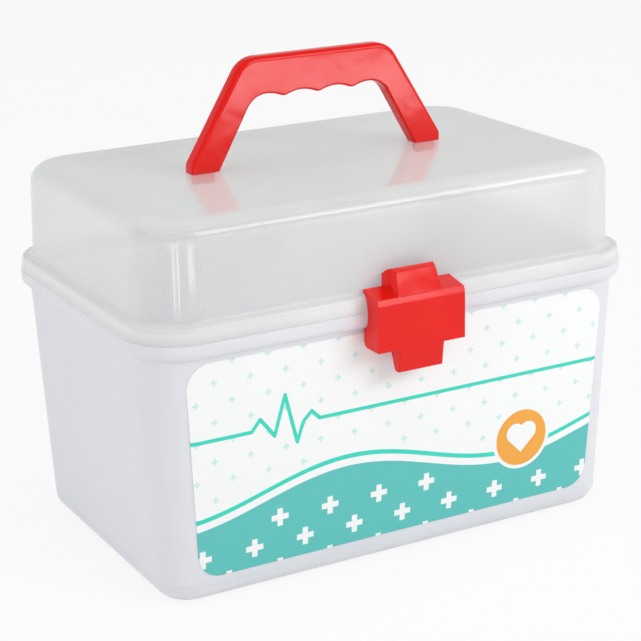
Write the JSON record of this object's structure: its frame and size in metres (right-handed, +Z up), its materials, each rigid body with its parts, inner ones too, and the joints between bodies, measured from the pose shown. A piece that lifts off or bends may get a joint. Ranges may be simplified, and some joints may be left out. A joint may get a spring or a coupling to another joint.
{
  "type": "toy doctor case",
  "caption": "Toy doctor case: white tub, frosted lid hinged at the back, red bar handle with finger grooves, red cross-shaped latch, and a label in front.",
  "frame": {"origin": "middle of the tub's flat underside, on the surface that the case stands on", "axes": "+Z up, +X along the case's length towards the right when facing the latch, +Y towards the hinges, so the latch faces -Y"},
  "size_m": [0.25, 0.1833, 0.2208],
  "materials": {
    "tub_plastic": "white polypropylene, soft gloss",
    "label_paper": "coated paper sticker, printed, satin",
    "lid_plastic": "frosted clear polypropylene, smooth outside",
    "red_plastic": "red moulded plastic, glossy"
  },
  "bodies": {
    "tub_body": {"tub": "tub_plastic", "front_label": "label_paper"},
    "lid_body": {"lid": "lid_plastic", "handle": "red_plastic"},
    "latch_body": {"latch": "red_plastic"}
  },
  "joints": [
    {"name": "lid_hinge", "type": "hinge", "parent": "tub_body", "child": "lid_body", "pos_m": [0, 0.08585, 0.1213], "axis": [-1, 0, 0], "range_deg": [0, 110]},
    {"name": "latch_hinge", "type": "hinge", "parent": "lid_body", "child": "latch_body", "pos_m": [0, -0.08165, 0.1342], "axis": [-1, 0, 0], "range_deg": [0, 100]}
  ]
}
